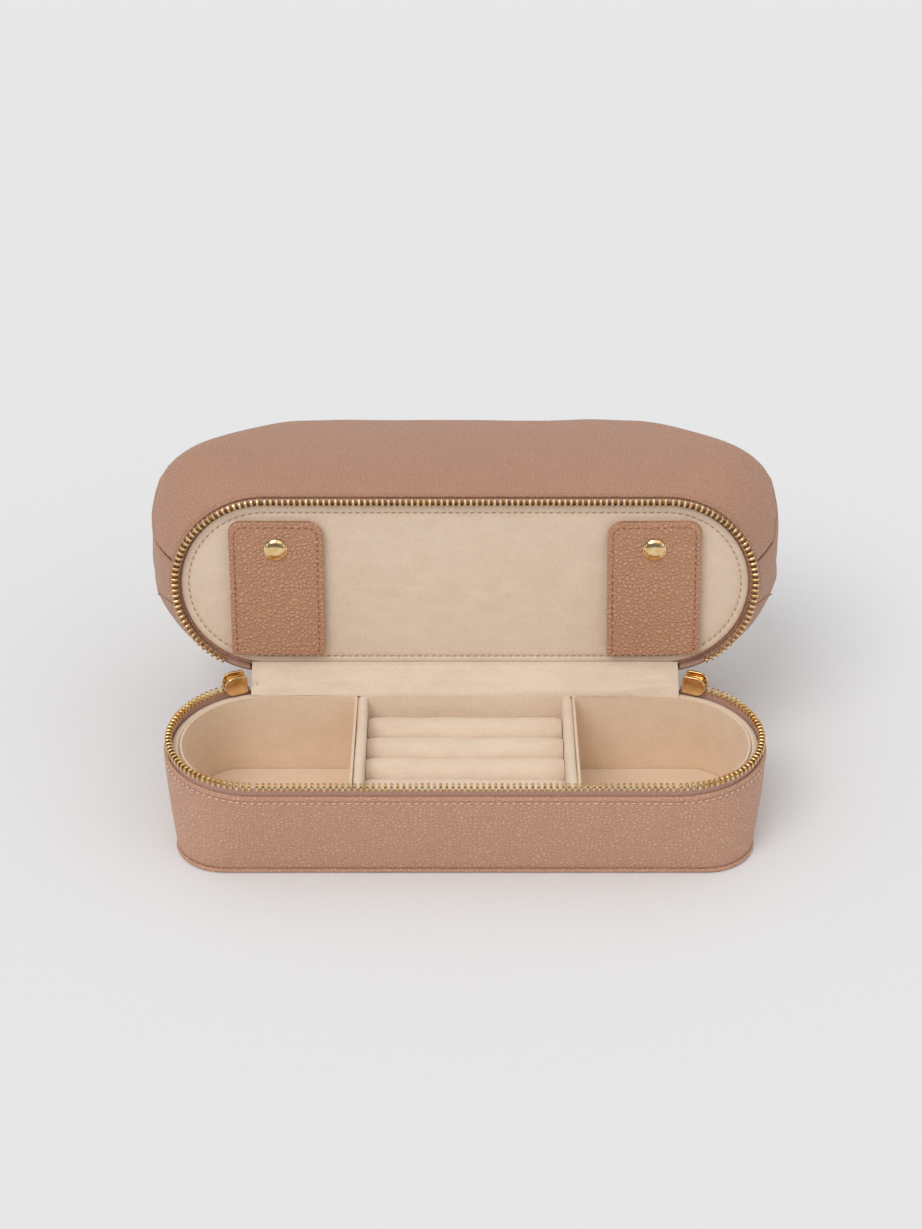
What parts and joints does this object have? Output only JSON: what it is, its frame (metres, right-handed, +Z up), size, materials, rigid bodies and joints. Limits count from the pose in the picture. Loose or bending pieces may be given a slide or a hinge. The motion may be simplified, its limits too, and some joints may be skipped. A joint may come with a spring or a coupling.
{
  "type": "leather jewellery case",
  "caption": "Leather vanity case: a zipped suede-lined jewellery tray with cups and ring rolls, and a hinged lid with snap straps that carries a soft zipped dome pouch.",
  "frame": {"origin": "middle of the tray's underside, on the table", "axes": "+Z up; +X along the long side, to the viewer's right; +Y towards the hinge at the back"},
  "size_m": [0.2756, 0.2014, 0.1278],
  "materials": {
    "leather": "pebbled, satin",
    "strap_leather": "pebbled, satin",
    "suede": "short suede nap",
    "pouch_lining": "matt woven lining",
    "card": "matt",
    "zip_tape": "herringbone twill",
    "zip_teeth": "polished pale gold",
    "gold": "polished gold plate"
  },
  "bodies": {
    "base": {"base_sole": "leather", "base_wall": "leather", "wall_board": "card", "floor_board": "card", "tray_lining": "suede", "tray_floor": "suede", "left_cup": "suede", "right_cup": "suede", "left_divider": "suede", "right_divider": "suede", "ring_bed": "suede", "ring_roll_1": "suede", "ring_roll_2": "suede", "ring_roll_3": "suede", "ring_roll_4": "suede", "base_zip_tape": "zip_tape", "base_zip_teeth": "zip_teeth", "hinge_cover_lower": "leather", "hinge_lining_lower": "suede"},
    "lid": {"hinge_cover_upper": "leather", "hinge_lining_upper": "suede", "lid_zip_tape": "zip_tape", "lid_zip_teeth": "zip_teeth", "lid_edge_band": "suede", "lid_suede": "suede", "lid_board": "card", "pouch_floor": "pouch_lining", "pouch_front": "leather", "pouch_back": "leather", "pouch_left_side": "leather", "pouch_right_side": "leather", "pouch_top_front": "leather", "pouch_top_back": "leather", "pouch_lining": "pouch_lining", "pouch_zip_tape": "zip_tape", "pouch_zip_teeth": "zip_teeth", "left_strap_backing": "strap_leather", "right_strap_backing": "strap_leather", "left_snap_socket": "gold", "right_snap_socket": "gold"},
    "left_strap": {"left_strap_flap": "strap_leather", "left_snap_cap": "gold", "left_snap_stud": "gold"},
    "right_strap": {"right_strap_flap": "strap_leather", "right_snap_cap": "gold", "right_snap_stud": "gold"},
    "left_zip_slider": {"left_slider": "gold"},
    "left_zip_pull": {"left_pull": "gold"},
    "right_zip_slider": {"right_slider": "gold"},
    "right_zip_pull": {"right_pull": "gold"},
    "pouch_zip_slider": {"pouch_slider": "gold"},
    "pouch_zip_pull": {"pouch_pull": "gold"}
  },
  "joints": [
    {"name": "lid_hinge", "type": "hinge", "parent": "base", "child": "lid", "pos_m": [0, 0.041, 0.0465], "axis": [-1, 0, 0], "range_deg": [-96.5, 0]},
    {"name": "left_strap_fold", "type": "hinge", "parent": "lid", "child": "left_strap", "pos_m": [-0.0802, 0.04502, 0.05706], "axis": [1, 0, 0], "range_deg": [0, 95]},
    {"name": "right_strap_fold", "type": "hinge", "parent": "lid", "child": "right_strap", "pos_m": [0.0802, 0.04502, 0.05706], "axis": [1, 0, 0], "range_deg": [0, 95]},
    {"name": "left_slider_run", "type": "hinge", "parent": "base", "child": "left_zip_slider", "pos_m": [-0.084, 0, 0.0465], "axis": [0, 0, 1], "range_deg": [0, 157]},
    {"name": "right_slider_run", "type": "hinge", "parent": "base", "child": "right_zip_slider", "pos_m": [0.084, 0, 0.0465], "axis": [0, 0, -1], "range_deg": [0, 157]},
    {"name": "left_pull_swing", "type": "hinge", "parent": "left_zip_slider", "child": "left_zip_pull", "pos_m": [-0.10021, 0.04036, 0.0465], "axis": [0.9279, 0.3728, 0], "range_deg": [0, 50]},
    {"name": "right_pull_swing", "type": "hinge", "parent": "right_zip_slider", "child": "right_zip_pull", "pos_m": [0.10021, 0.04036, 0.0465], "axis": [0.9279, -0.3728, 0], "range_deg": [0, 50]},
    {"name": "pouch_slider_run", "type": "slide", "parent": "lid", "child": "pouch_zip_slider", "axis": [-1, 0, 0], "range_m": [0, 0.13]},
    {"name": "pouch_pull_flip", "type": "hinge", "parent": "pouch_zip_slider", "child": "pouch_zip_pull", "pos_m": [0.065, 0.15896, 0.07433], "axis": [0, 0.1132, 0.9936], "range_deg": [0, 175]}
  ]
}
